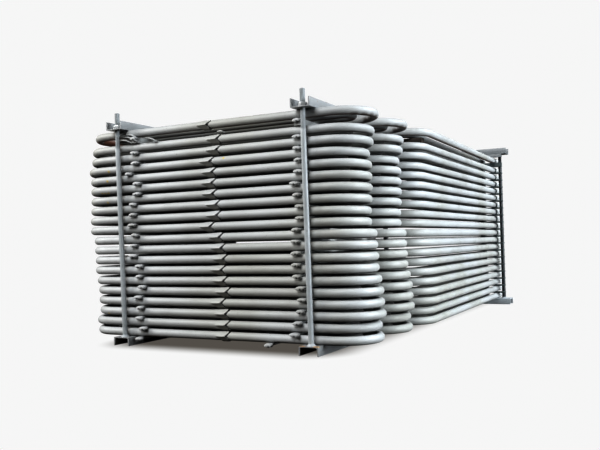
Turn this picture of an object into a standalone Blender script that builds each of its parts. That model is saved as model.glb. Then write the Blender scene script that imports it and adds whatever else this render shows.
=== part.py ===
"""Superheater tube bundle: flat serpentine coil panels stacked for delivery between clamped steel channels.

Each panel is a nested pair of tubes, bent in one plane. A tube comes forward along the left leg, runs
across the front, turns back and forth through its loops and leaves along the right leg. Where one tube
of the pair takes the wide outside of a bend, the other takes the tight inside of it.
+X is to the right along the front run, +Y is towards the tube ends, +Z is up. The origin is on the
ground, under the middle of the bundle. Lengths are in metres.
"""

import math

import bmesh
import bpy
from mathutils import Vector

# Coil panels
PANELS = 20
LOOPS = 2
TUBE_DIAMETER = 0.051
PANEL_GAP = 0.014
TOP_PANEL_GAP = 0.040
RUN_PITCH = 0.123
COIL_WIDTH = 1.974
LEG_LENGTH = 3.393
BEND_SETBACK = 0.021

# How far each panel's loops have slid to the right in the stack, from the top panel down
PANEL_SLIDES = (
    0.044, 0.016, 0.008, -0.016, -0.005, -0.005, -0.005, -0.008, -0.014, -0.014,
    0.017, 0.019, 0.023, 0.024, 0.038, 0.049, 0.051, 0.058, 0.033, 0.043,
)

# Lap cuff on each outer tube's front run
CUFF_PLACE = 0.963
CUFF_LENGTH = 0.085
CUFF_LIP = 0.006
CUFF_MOUTH = 0.034

# How far each cuff sits from the common place along its tube, from the top panel down
CUFF_SHIFTS = (
    -0.094, 0.004, 0.007, -0.017, -0.015, -0.017, -0.014, 0.012, 0.020, -0.028,
    0.004, 0.014, 0.023, 0.006, 0.005, 0.013, -0.026, -0.006, 0.022, 0.010,
)

# Spacer bars welded under each outer tube
BAR_WIDTH = 0.050
BAR_LUG_LENGTH = 0.024
BAR_LUG_DROP = 0.010
BAR_TAIL = 0.012
REAR_BAR_OVERHANG = 0.008
WELD_WIDTH = 0.020
WELD_DEPTH = 0.001

# From the clamp's rod to the middle of each front bar beside it, from the top panel down
LEFT_BAR_OFFSETS = (
    0.121, 0.124, 0.126, 0.071, 0.134, 0.131, 0.095, 0.091, 0.081, 0.102,
    0.090, 0.079, 0.125, 0.121, 0.142, 0.106, 0.120, 0.109, 0.137, 0.103,
)
MIDDLE_BAR_OFFSETS = (
    -0.046, -0.046, -0.048, -0.046, -0.046, -0.075, -0.064, -0.046, -0.046, -0.077,
    -0.083, -0.081, -0.084, -0.081, -0.060, -0.053, -0.065, -0.087, -0.108, -0.278,
)

# Channels, with their packing strips
CHANNEL_WIDTH = 0.120
CHANNEL_HEIGHT = 0.053
CHANNEL_WEB = 0.0055
CHANNEL_FLANGE = 0.008
CHANNEL_OVERHANG = 0.037
PACKING_WIDTH = 0.040
REAR_TOP_PACKING = 0.028
MIDDLE_CLAMP_INSET = 0.286
LEFT_CLAMP_INSET = 0.360
REAR_CLAMP_INSET = 0.140
REAR_CHANNEL_OVERHANG = 0.068

# Tie rods and nuts
ROD_DIAMETER = 0.032
THREAD_DIAMETER = 0.030
THREAD_LENGTH = 0.150
ROD_STUB = 0.108
REAR_ROD_STUB = 0.042
ROD_SIDE_OFFSET = 0.068
LEFT_ROD_LEAN = 0.032
MIDDLE_ROD_LEAN = 0.016
WELD_COLLAR_DIAMETER = 0.054
WELD_COLLAR_HEIGHT = 0.014
NUT_ACROSS_FLATS = 0.046
NUT_HEIGHT = 0.024

# Fits
SEAT_GAP = 0.0003
HOLE_CLEARANCE = 0.0006
ROD_TUBE_GAP = 0.0005

# Facets
TUBE_SIDES = 6
ROD_SIDES = 6
RIGHT_WIDE_BEND_STEPS = 4
LEFT_WIDE_BEND_STEPS = 3
TIGHT_BEND_STEPS = 2
CORNER_STEPS = 2

# Places worked out from the sizes above
TUBE_RADIUS = TUBE_DIAMETER / 2
TUBE_CORNER = TUBE_RADIUS / math.cos(math.pi / TUBE_SIDES)
ROD_CORNER = ROD_DIAMETER / 2 / math.cos(math.pi / ROD_SIDES)
PANEL_PITCH = TUBE_DIAMETER + PANEL_GAP
WIDE_RADIUS = 1.5 * RUN_PITCH
TIGHT_RADIUS = 0.5 * RUN_PITCH
LEG_X = COIL_WIDTH / 2
WEB_TOP = CHANNEL_HEIGHT
BOTTOM_PANEL_Z = WEB_TOP + SEAT_GAP + TUBE_RADIUS
TOP_PANEL_Z = BOTTOM_PANEL_Z + (PANELS - 2) * PANEL_PITCH + TUBE_DIAMETER + TOP_PANEL_GAP
STACK_TOP = TOP_PANEL_Z + TUBE_RADIUS
ROD_STANDOFF = TUBE_CORNER + ROD_CORNER + ROD_TUBE_GAP
DEPTH = ROD_STANDOFF + CHANNEL_OVERHANG + LEG_LENGTH
FRONT_Y = -DEPTH / 2 + ROD_STANDOFF + CHANNEL_OVERHANG
LAST_RUN_Y = FRONT_Y + (4 * LOOPS + 1) * RUN_PITCH
TUBE_END_Y = FRONT_Y + LEG_LENGTH
FRONT_ROD_Y = FRONT_Y - ROD_STANDOFF
BACK_ROD_Y = LAST_RUN_Y + ROD_STANDOFF
REAR_CLAMP_Y = TUBE_END_Y - REAR_CLAMP_INSET
LEFT_CLAMP_X = -LEG_X + LEFT_CLAMP_INSET
MIDDLE_CLAMP_X = LEG_X - MIDDLE_CLAMP_INSET
REAR_ROD_X = LEG_X + ROD_SIDE_OFFSET
REAR_BAR_END = REAR_ROD_X + ROD_DIAMETER / 2 + REAR_BAR_OVERHANG
REAR_BAR_BACK_Y = REAR_CLAMP_Y - ROD_CORNER - ROD_TUBE_GAP
REAR_CHANNEL_END = REAR_ROD_X + REAR_CHANNEL_OVERHANG
LEAN_START_Z = WEB_TOP + SEAT_GAP + WELD_COLLAR_HEIGHT
LEAN_END_Z = STACK_TOP + SEAT_GAP + CHANNEL_WEB + NUT_HEIGHT - THREAD_LENGTH


def panel_height(number):
    """Height of a panel's tube centres, with panel 1 on top."""
    if number == 1:
        return TOP_PANEL_Z
    return BOTTOM_PANEL_Z + (PANELS - number) * PANEL_PITCH


def pick(table, number):
    """A panel's own value. A stack with more panels than the table starts again at its top."""
    return table[(number - 1) % len(table)]


def rod_drift(lean, height):
    """How far a leaning rod is from its clamp's middle: upright at its foot and thread, leaning between."""
    share = (height - LEAN_START_Z) / (LEAN_END_Z - LEAN_START_Z)
    return lean * (0.5 - min(1.0, max(0.0, share)))


def finish(name, colour, roughness, metallic):
    """A Principled material."""
    material = bpy.data.materials.new(name)
    material.use_nodes = True
    shader = material.node_tree.nodes["Principled BSDF"]
    shader.inputs["Base Color"].default_value = (*colour, 1)
    shader.inputs["Roughness"].default_value = roughness
    shader.inputs["Metallic"].default_value = metallic
    return material


def add_object(name, vertices, faces, material):
    """A smooth-shaded object with sharp edges kept and its faces turned outwards."""
    mesh = bpy.data.meshes.new(name)
    mesh.from_pydata(vertices, [], faces)
    shape = bmesh.new()
    shape.from_mesh(mesh)
    bmesh.ops.recalc_face_normals(shape, faces=shape.faces)
    shape.to_mesh(mesh)
    shape.free()
    mesh.materials.append(material)
    item = bpy.data.objects.new(name, mesh)
    bpy.context.scene.collection.objects.link(item)
    shade(item)
    return item


def shade(item):
    """Smooth round sides, with edges sharper than a tube's facets kept crisp."""
    item.data.shade_smooth()
    item.data.set_sharp_from_angle(angle=math.radians(70))


def combine(item, tool, operation):
    """Joins or cuts an item with a tool, which is used up."""
    modifier = item.modifiers.new(operation, "BOOLEAN")
    modifier.operation = operation
    modifier.object = tool
    graph = bpy.context.evaluated_depsgraph_get()
    result = bpy.data.meshes.new_from_object(item.evaluated_get(graph))
    item.modifiers.remove(modifier)
    item.data = result
    bpy.data.objects.remove(tool)
    shade(item)


def ring_faces(start, following, sides):
    """Side faces between two rings of vertices."""
    return [
        (start + k, start + (k + 1) % sides, following + (k + 1) % sides, following + k)
        for k in range(sides)
    ]


def loft(rings):
    """Vertices and faces of a closed body through rings that all have as many points."""
    sides = len(rings[0])
    vertices = [point for ring in rings for point in ring]
    faces = [tuple(range(sides)), tuple(range(len(vertices) - sides, len(vertices)))]
    for index in range(len(rings) - 1):
        faces += ring_faces(index * sides, (index + 1) * sides, sides)
    return vertices, faces


def prisms(name, outlines, material):
    """One object of straight prisms, each an outline in 3-D and the vector it is extruded by."""
    vertices = []
    faces = []
    for outline, extrusion in outlines:
        first = [Vector(point) for point in outline]
        more_vertices, more_faces = loft([first, [point + Vector(extrusion) for point in first]])
        faces += [tuple(index + len(vertices) for index in face) for face in more_faces]
        vertices += more_vertices
    return add_object(name, vertices, faces, material)


def regular(centre, radius, sides, turn=0.0):
    """Corners of a level regular polygon."""
    angles = [turn + 2 * math.pi * k / sides for k in range(sides)]
    return [Vector(centre) + radius * Vector((math.cos(a), math.sin(a), 0)) for a in angles]


def arc(centre, radius, start, end, steps):
    """Stations along a bend in plan: the centre point and the tube's heading there."""
    turn = math.copysign(math.pi / 2, end - start)
    stations = []
    for step in range(steps + 1):
        angle = math.radians(start + (end - start) * step / steps)
        place = Vector(centre) + radius * Vector((math.cos(angle), math.sin(angle)))
        stations.append((place, angle + turn))
    return stations


def leg_end(side, inward):
    """The station at a leg's square-cut end, on the left (side -1) or the right (side 1)."""
    return Vector((side * (LEG_X - inward), TUBE_END_Y)), side * math.pi / 2


def coil_path(outer, slide):
    """Stations of one tube of a pair, from its left end to its right end."""
    outside, inside = (WIDE_RADIUS, TIGHT_RADIUS) if outer else (TIGHT_RADIUS, WIDE_RADIUS)
    outside_steps = RIGHT_WIDE_BEND_STEPS if outer else TIGHT_BEND_STEPS
    inside_steps = TIGHT_BEND_STEPS if outer else LEFT_WIDE_BEND_STEPS
    inward = 0 if outer else RUN_PITCH
    right_x = LEG_X + slide - BEND_SETBACK - WIDE_RADIUS
    left_x = -LEG_X + slide + 2 * RUN_PITCH + WIDE_RADIUS
    corner_y = FRONT_Y + WIDE_RADIUS
    stations = [leg_end(-1, inward)]
    stations += arc((-LEG_X + slide + WIDE_RADIUS, corner_y), outside, 180, 270, CORNER_STEPS)
    for loop in range(LOOPS):
        loop_y = corner_y + 4 * RUN_PITCH * loop
        stations += arc((right_x, loop_y), outside, -90, 90, outside_steps)
        stations += arc((left_x, loop_y + 2 * RUN_PITCH), inside, 270, 90, inside_steps)
    last_y = corner_y + 4 * RUN_PITCH * LOOPS
    stations += arc((LEG_X + slide - WIDE_RADIUS, last_y), outside, -90, 0, CORNER_STEPS)
    return stations + [leg_end(1, inward)]


def tube_ring(station, height, radius=TUBE_RADIUS, mouth=0.0):
    """A ring of the tube, flat on top and below. A mouth draws its sides back along the tube."""
    place, heading = station
    corner = radius / math.cos(math.pi / TUBE_SIDES)
    points = []
    for k in range(TUBE_SIDES):
        angle = 2 * math.pi * k / TUBE_SIDES
        back = mouth * (1 - min(1, abs(math.sin(angle)) / math.sin(math.pi / 3)))
        along = Vector((math.cos(heading), math.sin(heading), 0))
        across = Vector((-along.y, along.x, 0))
        up = Vector((0, 0, height + corner * math.sin(angle)))
        points.append(place.to_3d() + corner * math.cos(angle) * across + up - back * along)
    return points


def cuff_rings(number, slide, height):
    """The lap cuff: the tube's end widens and opens like a fish's mouth over the next length."""
    lip_x = LEG_X - CUFF_PLACE + slide + pick(CUFF_SHIFTS, number) + CUFF_LENGTH
    root = (Vector((lip_x - CUFF_LENGTH, FRONT_Y)), 0.0)
    lip = (Vector((lip_x, FRONT_Y)), 0.0)
    return [
        tube_ring(root, height),
        tube_ring(lip, height, TUBE_RADIUS + CUFF_LIP, CUFF_MOUTH),
        tube_ring(lip, height, TUBE_RADIUS, CUFF_MOUTH),
    ]


def bar_outlines(number):
    """The spacer bars under an outer tube, each with one weld up into it. A channel is the lowest rear bar."""
    gap = TOP_PANEL_GAP if number == 1 else PANEL_GAP
    top = panel_height(number) - TUBE_RADIUS - SEAT_GAP
    bottom = panel_height(number) - TUBE_RADIUS - gap + SEAT_GAP
    weld = top + SEAT_GAP + WELD_DEPTH
    lug_back = FRONT_Y - TUBE_CORNER - SEAT_GAP
    lug_front = lug_back - BAR_LUG_LENGTH
    tail = LAST_RUN_Y + TUBE_CORNER - BAR_TAIL
    side_view = [
        (lug_front, bottom - BAR_LUG_DROP), (lug_back, bottom - BAR_LUG_DROP),
        (lug_back, bottom), (tail, bottom), (tail, top),
        (FRONT_Y + WELD_WIDTH / 2, top), (FRONT_Y + WELD_WIDTH / 2, weld),
        (FRONT_Y - WELD_WIDTH / 2, weld), (FRONT_Y - WELD_WIDTH / 2, top), (lug_front, top),
    ]
    left_x = LEFT_CLAMP_X + rod_drift(LEFT_ROD_LEAN, bottom) + pick(LEFT_BAR_OFFSETS, number)
    middle_x = MIDDLE_CLAMP_X + rod_drift(MIDDLE_ROD_LEAN, bottom) + pick(MIDDLE_BAR_OFFSETS, number)
    bars = []
    for x in (left_x - BAR_WIDTH / 2, middle_x - BAR_WIDTH / 2):
        bars.append(([(x, y, z) for y, z in side_view], (BAR_WIDTH, 0, 0)))
    if number == PANELS:
        return bars
    end = REAR_BAR_END
    rear_view = [
        (-end, bottom), (end, bottom), (end, top), (LEG_X + WELD_WIDTH / 2, top),
        (LEG_X + WELD_WIDTH / 2, weld), (LEG_X - WELD_WIDTH / 2, weld),
        (LEG_X - WELD_WIDTH / 2, top), (-end, top),
    ]
    bars.append(([(x, REAR_BAR_BACK_Y, z) for x, z in rear_view], (0, -BAR_WIDTH, 0)))
    return bars


def make_outer_coil(number, material):
    """The outer tube of a panel, with its lap cuff and its welded spacer bars."""
    slide = pick(PANEL_SLIDES, number)
    height = panel_height(number)
    rings = [tube_ring(station, height) for station in coil_path(True, slide)]
    front_start = CORNER_STEPS + 2
    rings[front_start:front_start] = cuff_rings(number, slide, height)
    coil = add_object(f"outer_coil_{number:02d}", *loft(rings), material)
    combine(coil, prisms("bars", bar_outlines(number), material), "UNION")


def make_inner_coil(number, material):
    """The inner tube of a panel."""
    height = panel_height(number)
    rings = [tube_ring(station, height) for station in coil_path(False, pick(PANEL_SLIDES, number))]
    add_object(f"inner_coil_{number:02d}", *loft(rings), material)


def channel_outline(web_z, up):
    """The section of a channel, as offsets across it and heights. Its web's outer face is at web_z."""
    side = CHANNEL_WIDTH / 2
    inner = side - CHANNEL_FLANGE
    tip = web_z + up * CHANNEL_HEIGHT
    web = web_z + up * CHANNEL_WEB
    return [
        (-side, web_z), (side, web_z), (side, tip), (inner, tip),
        (inner, web), (-inner, web), (-inner, tip), (-side, tip),
    ]


def make_channel(name, start, end, web_z, up, holes, packing, material):
    """A channel from start to end in plan, with rod holes near its ends and a packing strip on its web."""
    start = Vector(start)
    along = Vector(end) - start
    across = Vector((-along.y, along.x)).normalized()

    def placed(outline, where):
        return [((where + across * offset).x, (where + across * offset).y, z) for offset, z in outline]

    extrusion = along.to_3d()
    channel = prisms(name, [(placed(channel_outline(web_z, up), start), extrusion)], material)
    if packing:
        strip_start, strip_end, thickness = packing
        reach = PACKING_WIDTH / 2
        low = web_z - up * thickness
        high = web_z + up * WELD_DEPTH
        strip = [(-reach, low), (reach, low), (reach, high), (-reach, high)]
        where = Vector(strip_start)
        run = (Vector(strip_end) - where).to_3d()
        combine(channel, prisms("strip", [(placed(strip, where), run)], material), "UNION")
    bores = []
    for x, y in holes:
        low = min(web_z, web_z + up * CHANNEL_WEB) - CHANNEL_WEB
        radius = ROD_CORNER + HOLE_CLEARANCE
        bores.append((regular((x, y, low), radius, ROD_SIDES), (0, 0, 3 * CHANNEL_WEB)))
    combine(channel, prisms("bores", bores, material), "DIFFERENCE")


def make_rod(name, x, y, lean, top_web, stub, material):
    """A tie rod, welded with a collar to the bottom channel's web and threaded at its top. It may lean."""
    thread_start = top_web + CHANNEL_WEB + NUT_HEIGHT - THREAD_LENGTH
    collar = WEB_TOP + SEAT_GAP
    profile = [
        (WEB_TOP - CHANNEL_WEB, ROD_DIAMETER), (collar, ROD_DIAMETER),
        (collar, WELD_COLLAR_DIAMETER), (collar + WELD_COLLAR_HEIGHT, ROD_DIAMETER),
        (thread_start, ROD_DIAMETER), (thread_start + ROD_DIAMETER - THREAD_DIAMETER, THREAD_DIAMETER),
        (top_web + stub, THREAD_DIAMETER),
    ]
    corner = 0.5 / math.cos(math.pi / ROD_SIDES)
    rings = [regular((x + rod_drift(lean, z), y, z), diameter * corner, ROD_SIDES) for z, diameter in profile]
    add_object(name, *loft(rings), material)


def make_nut(name, x, y, top_web, material):
    """A hexagon nut seated on the top channel's web."""
    seat = top_web + CHANNEL_WEB + SEAT_GAP
    corner = NUT_ACROSS_FLATS / 2 / math.cos(math.pi / 6)
    nut = prisms(name, [(regular((x, y, seat), corner, 6), (0, 0, NUT_HEIGHT))], material)
    bore = THREAD_DIAMETER / 2 / math.cos(math.pi / ROD_SIDES) + SEAT_GAP
    cutter = (regular((x, y, seat - NUT_HEIGHT), bore, ROD_SIDES), (0, 0, 3 * NUT_HEIGHT))
    combine(nut, prisms("bore", [cutter], material), "DIFFERENCE")


def make_clamp(name, x, lean, finishes):
    """A clamp across the loops. Its top channel has slid left of its bottom one, so that the rods lean."""
    channel_paint, rod_paint, nut_steel = finishes
    top_web = STACK_TOP + SEAT_GAP
    for level, web, up, drift in (("bottom", WEB_TOP, -1, lean / 2), ("top", top_web, 1, -lean / 2)):
        start = (x + drift, FRONT_ROD_Y - CHANNEL_OVERHANG)
        end = (x + drift, BACK_ROD_Y + CHANNEL_OVERHANG)
        holes = [(x + drift, FRONT_ROD_Y), (x + drift, BACK_ROD_Y)]
        make_channel(f"{name}_{level}_channel", start, end, web, up, holes, None, channel_paint)
    for place, y in (("front", FRONT_ROD_Y), ("back", BACK_ROD_Y)):
        make_rod(f"{name}_{place}_rod", x, y, lean, top_web, ROD_STUB, rod_paint)
        make_nut(f"{name}_{place}_nut", x - lean / 2, y, top_web, nut_steel)


def make_rear_clamp(finishes):
    """The clamp across the legs, near the tube ends."""
    channel_paint, rod_paint, nut_steel = finishes
    top_web = STACK_TOP + SEAT_GAP + REAR_TOP_PACKING
    start = (-REAR_CHANNEL_END, REAR_CLAMP_Y)
    end = (REAR_CHANNEL_END, REAR_CLAMP_Y)
    holes = [(-REAR_ROD_X, REAR_CLAMP_Y), (REAR_ROD_X, REAR_CLAMP_Y)]
    packing_y = REAR_BAR_BACK_Y - PACKING_WIDTH / 2
    packing = ((-REAR_BAR_END, packing_y), (REAR_BAR_END, packing_y), REAR_TOP_PACKING)
    make_channel("rear_bottom_channel", start, end, WEB_TOP, -1, holes, None, channel_paint)
    make_channel("rear_top_channel", start, end, top_web, 1, holes, packing, channel_paint)
    for place, (rod_x, rod_y) in zip(("left", "right"), holes):
        make_rod(f"rear_{place}_rod", rod_x, rod_y, 0.0, top_web, REAR_ROD_STUB, rod_paint)
        make_nut(f"rear_{place}_nut", rod_x, rod_y, top_web, nut_steel)


def main():
    for item in list(bpy.data.objects):
        bpy.data.objects.remove(item)
    outer_paint = finish("outer_coil_paint", (0.56, 0.57, 0.57), 0.42, 0.0)
    inner_paint = finish("inner_coil_paint", (0.52, 0.53, 0.53), 0.45, 0.0)
    channel_paint = finish("channel_paint", (0.55, 0.58, 0.61), 0.45, 0.0)
    rod_paint = finish("rod_paint", (0.50, 0.52, 0.54), 0.40, 0.1)
    nut_steel = finish("nut_steel", (0.42, 0.43, 0.44), 0.45, 0.6)
    for number in range(1, PANELS + 1):
        make_outer_coil(number, outer_paint)
        make_inner_coil(number, inner_paint)
    finishes = (channel_paint, rod_paint, nut_steel)
    make_clamp("left", LEFT_CLAMP_X, LEFT_ROD_LEAN, finishes)
    make_clamp("middle", MIDDLE_CLAMP_X, MIDDLE_ROD_LEAN, finishes)
    make_rear_clamp(finishes)


main()
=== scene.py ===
# %% [markdown]
# # A superheater tube bundle
#
# The real object is a stack of flat pipe panels from a power station boiler. It is packed for the road:
# twenty panels lie on each other, and three pairs of steel channels with long threaded rods clamp them.
# The solid model gives every piece its place. This lesson dresses it: round tubes instead of six-sided
# ones, rolled channels with soft edges, real threads, welds, caps and worn grey paint.
#
# We start by loading the solid model as a fixed frame. Its box is kept, because the dressed model has to
# stay inside it.

# %% Load the frame
import math

import bpy
import numpy as np
from mathutils import Euler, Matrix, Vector


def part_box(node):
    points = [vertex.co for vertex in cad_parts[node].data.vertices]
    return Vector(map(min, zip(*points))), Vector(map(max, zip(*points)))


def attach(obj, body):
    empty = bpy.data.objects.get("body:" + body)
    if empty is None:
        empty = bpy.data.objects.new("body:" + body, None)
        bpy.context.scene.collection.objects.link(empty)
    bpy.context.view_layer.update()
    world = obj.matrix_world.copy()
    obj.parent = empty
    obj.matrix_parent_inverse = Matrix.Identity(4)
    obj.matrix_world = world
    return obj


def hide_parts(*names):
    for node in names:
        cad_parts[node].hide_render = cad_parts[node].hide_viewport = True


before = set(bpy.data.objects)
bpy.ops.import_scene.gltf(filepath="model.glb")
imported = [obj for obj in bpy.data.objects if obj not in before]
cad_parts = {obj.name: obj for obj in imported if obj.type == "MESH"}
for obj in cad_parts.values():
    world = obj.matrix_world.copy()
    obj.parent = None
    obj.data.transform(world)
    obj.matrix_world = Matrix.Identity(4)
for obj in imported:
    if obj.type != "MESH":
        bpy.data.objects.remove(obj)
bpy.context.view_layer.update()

# %% [markdown]
# ## The sizes that everything shares
#
# A workshop drawing would list these once: the radius of the tube, the spacing of its runs and of the panels,
# and how far each panel has slid sideways in the stack. They could all be measured on the solids, but a few
# sizes in metres are easier to follow, so only ends and heights are read from the frame. The slides are
# uneven because the panels were lifted on one by one.

# %% Sizes
# TUBE is a radius, RUN the distance between runs, WIDE and TIGHT the radii of bends, LEG the X of the outer
# legs, and SETBACK how much sooner a loop turns back than the corners.
TUBE = 0.0255
RUN = 0.123
WIDE = 1.5 * RUN
TIGHT = 0.5 * RUN
GAP, TOP_GAP = 0.014, 0.040
PANELS = 20
LOOPS = 2
LEG = 0.987
LEG_LENGTH = 3.393
SETBACK = 0.021
SLIDES = (
    0.044, 0.016, 0.008, -0.016, -0.005, -0.005, -0.005, -0.008, -0.014, -0.014,
    0.017, 0.019, 0.023, 0.024, 0.038, 0.049, 0.051, 0.058, 0.033, 0.043,
)
TUBE_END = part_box("outer_coil_20")[1].y
FRONT = TUBE_END - LEG_LENGTH


def height(panel):
    """The height of a panel's tube centres, read from its solid. Panel 1 is on top."""
    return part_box(f"inner_coil_{panel:02d}")[0].z + TUBE


def gap_under(panel):
    """The air gap under a panel. The top panel lies a little higher than the rest."""
    return TOP_GAP if panel == 1 else GAP


print("front run at", round(FRONT, 4), "tube ends at", round(TUBE_END, 4))
print("top panel at", round(height(1), 4), "bottom panel at", round(height(PANELS), 4))

# %% [markdown]
# ## The camera
#
# The photograph was taken from the front right corner, at a little under half the height of the stack, and
# tipped by about a degree. A camera could be aimed at a target, but a tipped one is easier to set by its
# heading, pitch and roll. Its place is counted from the foot of the stack's front right corner. A view gamma
# below 1 deepens the shadows, as the photograph does.

# %% Camera
FROM_CORNER = (1.5167, -3.5672, 0.5716)
HEADING, TILT_UP, ROLL = (math.radians(angle) for angle in (27.68, 1.333, -1.45))
lens = bpy.data.cameras.new("photo_camera")
lens.sensor_width = 36
lens.lens = 43.1
lens.clip_end = 60
camera = bpy.data.objects.new("photo_camera", lens)
camera.location = np.add((LEG, FRONT, height(PANELS) - TUBE), FROM_CORNER)
camera.rotation_mode = "QUATERNION"
camera.rotation_quaternion = (
    Euler((0, 0, HEADING)).to_quaternion()
    @ Euler((math.pi / 2 + TILT_UP, 0, 0)).to_quaternion()
    @ Euler((0, 0, ROLL)).to_quaternion()
)
bpy.context.scene.collection.objects.link(camera)
bpy.context.scene.camera = camera
bpy.context.scene.view_settings.view_transform = "Standard"
bpy.context.scene.view_settings.gamma = 0.66
print("camera at", [round(value, 3) for value in camera.location])

# %% [markdown]
# ## Writing shader maths as plain sums
#
# A material is a network of small boxes joined by wires. Written out wire by wire it is hard to read, so
# one small class wraps a wire and lets Python's own signs add the boxes: `dust * 0.5 + 1 - rust` builds
# three Math nodes. Colours are mixed with one call, and any other node comes from one method.


# %% A wire that can be added and multiplied
class Wire:
    """One output of a shader node. Sums, products and powers of wires and numbers add Math nodes."""

    def __init__(self, recipe, socket):
        self.recipe = recipe
        self.socket = socket

    def _sum(self, operation, *inputs, clamp=False):
        return self.recipe.node("ShaderNodeMath", {"operation": operation, "use_clamp": clamp}, inputs)

    def __add__(self, other):
        return self._sum("ADD", self, other)

    def __radd__(self, other):
        return self._sum("ADD", other, self)

    def __sub__(self, other):
        return self._sum("SUBTRACT", self, other)

    def __rsub__(self, other):
        return self._sum("SUBTRACT", other, self)

    def __mul__(self, other):
        return self._sum("MULTIPLY", self, other)

    def __rmul__(self, other):
        return self._sum("MULTIPLY", other, self)

    def __abs__(self):
        return self._sum("ABSOLUTE", self)

    def __pow__(self, other):
        return self._sum("POWER", self, other)

    def clipped(self):
        """The value held between 0 and 1."""
        return self._sum("ADD", self, 0.0, clamp=True)

    def step(self, low, high):
        """0 below low, 1 above high and a smooth rise between them."""
        inputs = {"Value": self, "From Min": low, "From Max": high}
        return self.recipe.node("ShaderNodeMapRange", {"interpolation_type": "SMOOTHSTEP"}, inputs)


# The places of the Mix node's colour sockets, which share their names with its other sockets.
MIX_BASE, MIX_OVER, MIXED = 6, 7, 2


class Recipe:
    """A material under construction. Its node method adds any node and returns the wire of one output."""

    def __init__(self, name):
        self.material = bpy.data.materials.new(name)
        self.material.use_nodes = True
        self.tree = self.material.node_tree
        self.shader = self.tree.nodes["Principled BSDF"]

    def node(self, kind, settings=None, inputs=(), output=0):
        """Adds a node, sets its settings first and then its sockets, by place or by name."""
        made = self.tree.nodes.new(kind)
        for key, value in (settings or {}).items():
            setattr(made, key, value)
        pairs = inputs.items() if isinstance(inputs, dict) else enumerate(inputs)
        for key, value in pairs:
            self.set(made.inputs[key], value)
        return Wire(self, made.outputs[output])

    def set(self, socket, value):
        """A wire is linked. A number or a colour is typed into the socket."""
        if isinstance(value, Wire):
            self.tree.links.new(value.socket, socket)
        elif hasattr(value, "__len__") and len(value) == 3 and socket.type == "RGBA":
            socket.default_value = (*value, 1)
        else:
            socket.default_value = value

    def place(self, stretch=(1, 1, 1)):
        """Object coordinates in metres, stretched along an axis where a pattern is long and thin."""
        point = self.node("ShaderNodeTexCoord", output="Object")
        return self.node("ShaderNodeMapping", None, {"Vector": point, "Scale": stretch})

    def axes(self):
        """Object X, Y and Z as three wires."""
        parts = self.node("ShaderNodeSeparateXYZ", None, [self.place()])
        return [Wire(self, parts.socket.node.outputs[k]) for k in range(3)]

    def high(self, first, second):
        """The greater of two values."""
        return self.node("ShaderNodeMath", {"operation": "MAXIMUM"}, [first, second])

    def noise(self, scale, detail=3.0, rough=0.5, stretch=(1, 1, 1)):
        """Soft cloudy noise from 0 to 1. Scale is blobs per metre."""
        inputs = {"Vector": self.place(stretch), "Scale": scale, "Detail": detail, "Roughness": rough}
        return self.node("ShaderNodeTexNoise", None, inputs)

    def mix(self, mask, base, over):
        """The base colour where the mask is 0, and the other where it is 1."""
        inputs = {"Factor": mask, MIX_BASE: base, MIX_OVER: over}
        return self.node("ShaderNodeMix", {"data_type": "RGBA"}, inputs, output=MIXED)

    def bump(self, wire, distance, strength=1.0):
        """Small relief, in metres, as a Normal."""
        return self.node("ShaderNodeBump", None, {"Height": wire, "Distance": distance, "Strength": strength})

    def finish(self, **sockets):
        """Links or sets the sockets of the Principled shader and returns the material."""
        for key, value in sockets.items():
            self.set(self.shader.inputs[key.replace("_", " ")], value)
        print("finish:", self.material.name)
        return self.material


# %% [markdown]
# ## The floor
#
# The floor is one wide level sheet, and isn't part of the object. It has the same even pale tone as the
# backdrop, so that no horizon shows, and a soft painted shadow under the bundle. Real shadows would also
# grey the pale tone, so the camera sees a plain glow with the painted shadow in it, and the light meets a
# dull dark ground that throws little back up into the tubes. The painted shadow is worked out from the
# distance to a rounded rectangle: the length of what sticks out past its inner corner, less the corner's
# radius.

# %% Floor
FLOOR_REACH = 30
corners = FLOOR_REACH * np.array([(-1, -1, 0), (1, -1, 0), (1, 1, 0), (-1, 1, 0)])
floor_mesh = bpy.data.meshes.new("floor")
floor_mesh.from_pydata(corners.tolist(), [], [(0, 1, 2, 3)])
floor = bpy.data.objects.new("floor", floor_mesh)
bpy.context.scene.collection.objects.link(floor)

PALE = (0.9476, 0.9476, 0.9476)
# The colour of the painted shadow under the bundle, mixed into the pale tone by the distance below.
SHADOW = (0.190, 0.176, 0.158)
SHADOW_MIDDLE, SHADOW_HALF_WIDTH, SHADOW_HALF_LENGTH, SHADOW_CORNER = 0.04, 0.56, 1.52, 0.18
paper = Recipe("pale_floor")
east, north, _ = paper.axes()
beyond_x = paper.high(abs(east - SHADOW_MIDDLE) - SHADOW_HALF_WIDTH, 0.0)
beyond_y = paper.high(abs(north) - SHADOW_HALF_LENGTH, 0.0)
away = (beyond_x * beyond_x + beyond_y * beyond_y) ** 0.5 - SHADOW_CORNER
tone = paper.mix(away.step(-0.10, 0.20), SHADOW, PALE)
seen = paper.node("ShaderNodeEmission", None, {"Color": tone, "Strength": 1.0}, output="Emission")
dull = paper.node("ShaderNodeBsdfDiffuse", None, {"Color": (0.045, 0.038, 0.028)}, output="BSDF")
direct = paper.node("ShaderNodeLightPath", output="Is Camera Ray")
both = paper.node("ShaderNodeMixShader", None, [direct, dull, seen], output="Shader")
paper.tree.links.new(both.socket, paper.tree.nodes["Material Output"].inputs["Surface"])
floor_mesh.materials.append(paper.material)
print("floor:", 2 * FLOOR_REACH, "m wide")

# %% [markdown]
# ## The light
#
# The photograph was taken under an open sky in a yard. A picture of a sky round the scene would light the
# gaps between the tubes as well, and they are nearly black in the photograph. Four large soft lamps do it
# better: the sky over the front, a cooler one high on the right, a low one that fills the right side, and a
# slightly warm one from the left. The world itself hardly glows, and the camera sees it in the floor's tone.


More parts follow.
